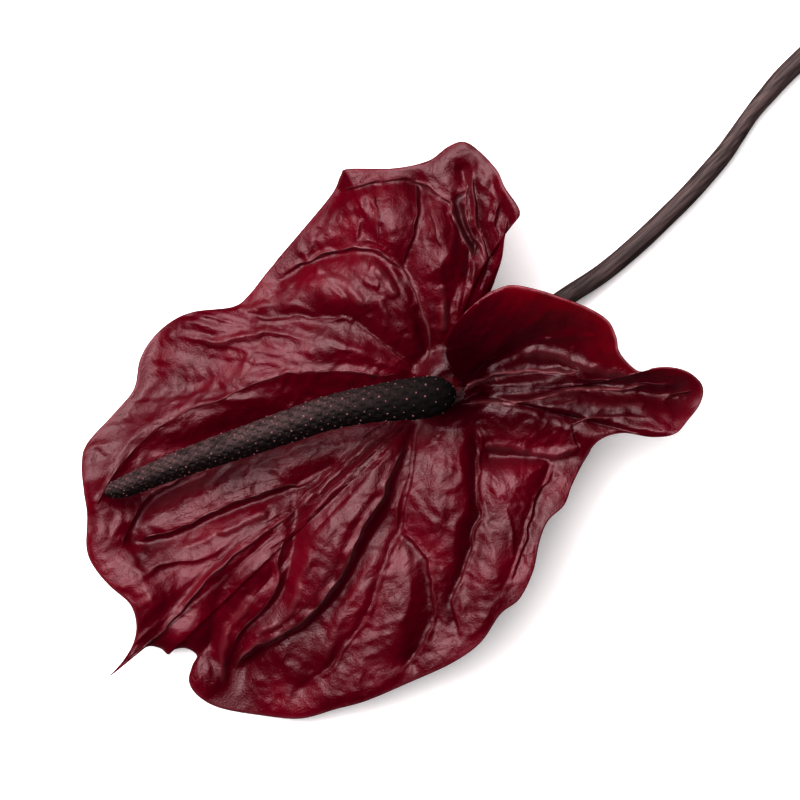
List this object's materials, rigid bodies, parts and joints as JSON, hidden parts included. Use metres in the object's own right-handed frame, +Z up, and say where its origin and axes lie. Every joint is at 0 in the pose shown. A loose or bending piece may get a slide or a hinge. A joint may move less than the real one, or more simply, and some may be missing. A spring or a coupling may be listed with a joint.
{
  "type": "cut anthurium stem",
  "caption": "Cut anthurium flower lying on its side: a dark red puckered heart-shaped spathe, a near-black spadix and a long dark stem.",
  "frame": {"origin": "centre of the flower's footprint, on the surface that it lies on", "axes": "+X along the flower from the spathe's tail to the cut end of the stem, +Z up, away from the surface"},
  "size_m": [0.4446, 0.1119, 0.034],
  "materials": {
    "spathe": "glossy puckered skin, dark crimson",
    "spadix": "matte near-black, covered in small florets",
    "stem": "matte dark brown-grey, finely ribbed lengthwise"
  },
  "bodies": {
    "root": {"spathe": "spathe", "spadix": "spadix", "stem": "stem"}
  },
  "joints": []
}
